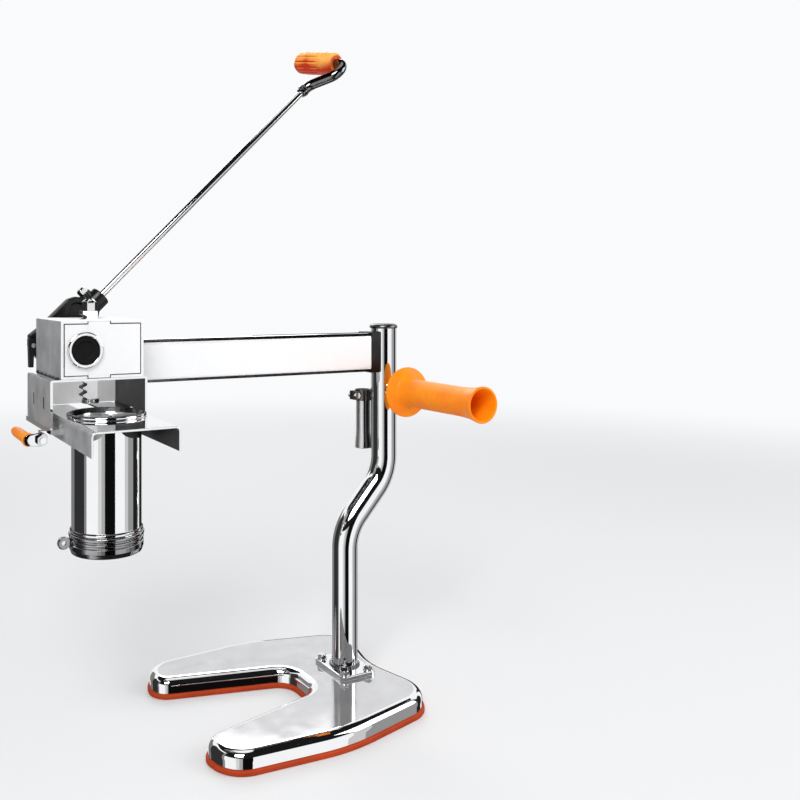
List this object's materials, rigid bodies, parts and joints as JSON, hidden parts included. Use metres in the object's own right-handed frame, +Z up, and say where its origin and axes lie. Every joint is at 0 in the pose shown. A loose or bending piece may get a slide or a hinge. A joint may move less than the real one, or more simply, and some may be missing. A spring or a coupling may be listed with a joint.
{
  "type": "pasta extruder",
  "caption": "Hand-cranked pasta press: horseshoe base, bent tube post, arm, rack-and-pinion head with ratchet crank lever, sliding tray and steel barrel with die ring.",
  "frame": {"origin": "on the table plane, under the centre of the post's foot, on the underside of the rubber pad", "axes": "+Z up; +X from the press head towards the post; -Y towards the side with the big side grip, from which the tray is loaded"},
  "size_m": [0.4906, 0.3199, 0.811],
  "materials": {
    "polished_tube": "mirror-polished stainless steel tube, hard black and white reflections",
    "polished_plate": "mirror-polished plate with faint brushing on the folded sides",
    "turned_steel": "bright turned and ground steel",
    "fasteners": "bright zinc-plated screws, nuts and washers",
    "black_casting": "glossy black enamel over a casting",
    "orange_grip": "moulded orange plastic, redder in the shade",
    "pad_rubber": "terracotta orange-red rubber",
    "black_plug": "black moulded plastic",
    "seal_rubber": "dark food-grade rubber"
  },
  "bodies": {
    "frame": {"base_plate": "polished_plate", "base_pad": "pad_rubber", "post_flange": "polished_plate", "flange_bolts": "fasteners", "flange_nuts": "fasteners", "post_tube": "polished_tube", "post_cap": "polished_tube", "arm_tube": "polished_tube", "arm_saddle": "polished_plate", "housing_shell": "polished_plate", "housing_front": "polished_plate", "housing_back": "polished_plate", "front_bearing": "turned_steel", "front_plug": "black_plug", "rear_bearing": "turned_steel", "rack_guide": "turned_steel", "carriage_bracket": "polished_plate", "rail_left": "polished_plate", "rail_right": "polished_plate", "grip_stud": "polished_tube", "side_grip": "orange_grip", "holder_tube": "polished_tube", "holder_collar": "polished_plate", "holder_bolt": "fasteners", "lock_lug": "polished_plate", "lock_nut": "fasteners"},
    "pinion": {"pinion_shaft": "turned_steel", "pinion_gear": "turned_steel", "ratchet_wheel": "turned_steel", "lever_washer": "fasteners", "lever_nut": "fasteners"},
    "rack": {"rack_bar": "turned_steel", "rack_stop_bolt": "fasteners", "pressure_foot": "turned_steel", "foot_screw": "fasteners"},
    "lever": {"lever_head": "black_casting", "lever_rod": "polished_tube", "crank_neck": "polished_tube", "clamp_bolt": "fasteners", "pawl_pin": "turned_steel", "grip_screw": "fasteners"},
    "crank_handle": {"crank_grip": "orange_grip"},
    "lever_pawl": {"pawl": "black_casting"},
    "carriage": {"tray": "polished_plate", "tray_runner": "polished_plate", "barrel": "polished_tube"},
    "die_holder": {"die_ring": "polished_tube", "die_lip": "polished_tube", "die_plate": "turned_steel"},
    "pusher": {"pusher_disc": "polished_plate", "pusher_seal": "seal_rubber", "pusher_screw": "fasteners"},
    "lock": {"lock_link": "polished_plate", "lock_grip": "orange_grip"}
  },
  "joints": [
    {"name": "pinion_turn", "type": "hinge", "parent": "frame", "child": "pinion", "pos_m": [-0.3406, 0, 0.427], "axis": [0, 1, 0], "range_deg": [-100, 90]},
    {"name": "rack_slide", "type": "slide", "parent": "frame", "child": "rack", "axis": [0, 0, 1], "range_m": [-0.0197, 0.0219]},
    {"name": "lever_swing", "type": "hinge", "parent": "frame", "child": "lever", "pos_m": [-0.3406, 0, 0.427], "axis": [0, 1, 0], "range_deg": [-75, 50]},
    {"name": "crank_grip_spin", "type": "hinge", "parent": "lever", "child": "crank_handle", "pos_m": [0.02557, 0.074, 0.78558], "axis": [-0.2046, 0.9563, 0.2089], "continuous": true},
    {"name": "pawl_lift", "type": "hinge", "parent": "lever", "child": "lever_pawl", "pos_m": [-0.3666, 0.062, 0.426], "axis": [0, 1, 0], "range_deg": [0, 15]},
    {"name": "tray_slide", "type": "slide", "parent": "frame", "child": "carriage", "axis": [0, 1, 0], "range_m": [0, 0.058]},
    {"name": "die_twist", "type": "hinge", "parent": "carriage", "child": "die_holder", "pos_m": [-0.32, -0.058, 0.235], "axis": [0, 0, 1], "range_deg": [0, 40]},
    {"name": "pusher_slide", "type": "slide", "parent": "carriage", "child": "pusher", "axis": [0, 0, -1], "range_m": [0, 0.1165]},
    {"name": "lock_turn", "type": "hinge", "parent": "frame", "child": "lock", "pos_m": [-0.3845, -0.0545, 0.3416], "axis": [0, 1, 0], "range_deg": [-75, 25]}
  ],
  "couplings": [
    {"joint": "rack_slide", "follows": "pinion_turn", "m_per_rad": -0.0125}
  ]
}
